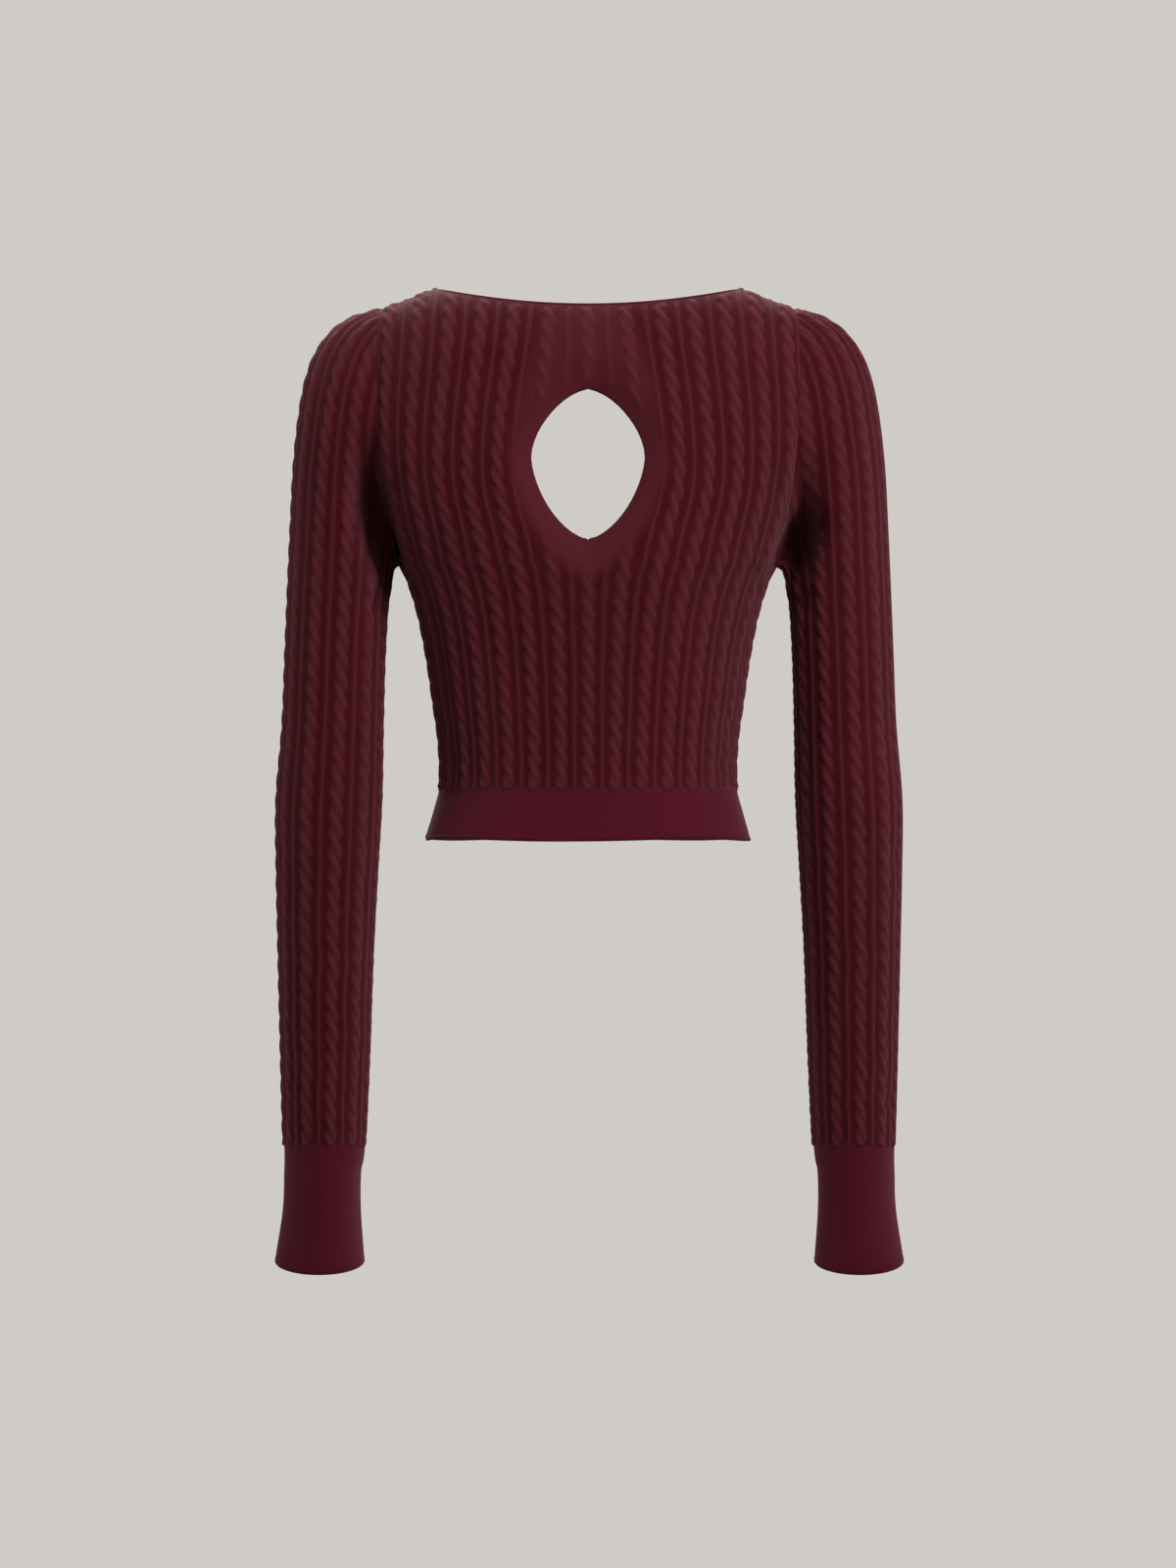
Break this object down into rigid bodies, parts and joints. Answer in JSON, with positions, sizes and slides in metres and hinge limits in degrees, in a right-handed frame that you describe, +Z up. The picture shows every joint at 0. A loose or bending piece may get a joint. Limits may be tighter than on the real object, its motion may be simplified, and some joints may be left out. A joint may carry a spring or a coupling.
{
  "type": "cropped cable-knit sweater with a keyhole back",
  "caption": "Cropped long-sleeved cable-knit sweater, filled out as worn, with a keyhole back, V front, smooth hem band and deep cuffs.",
  "frame": {"origin": "midway between the two high shoulder points, where the neck edge meets the shoulder seams", "axes": "+Z up along the wearer, +Y to the wearer's front, +X to the wearer's right; the keyhole back faces -Y"},
  "size_m": [0.454, 0.2133, 0.7135],
  "materials": {
    "cable_knit": "matte fine cable knit, dark burgundy",
    "smooth_knit": "matte fine plain knit, dark burgundy"
  },
  "bodies": {
    "root": {"back_panel": "cable_knit", "front_panel": "cable_knit", "left_sleeve": "cable_knit", "right_sleeve": "cable_knit", "back_hem_band": "smooth_knit", "front_hem_band": "smooth_knit", "left_cuff": "smooth_knit", "right_cuff": "smooth_knit", "neck_edge": "smooth_knit"}
  },
  "joints": []
}
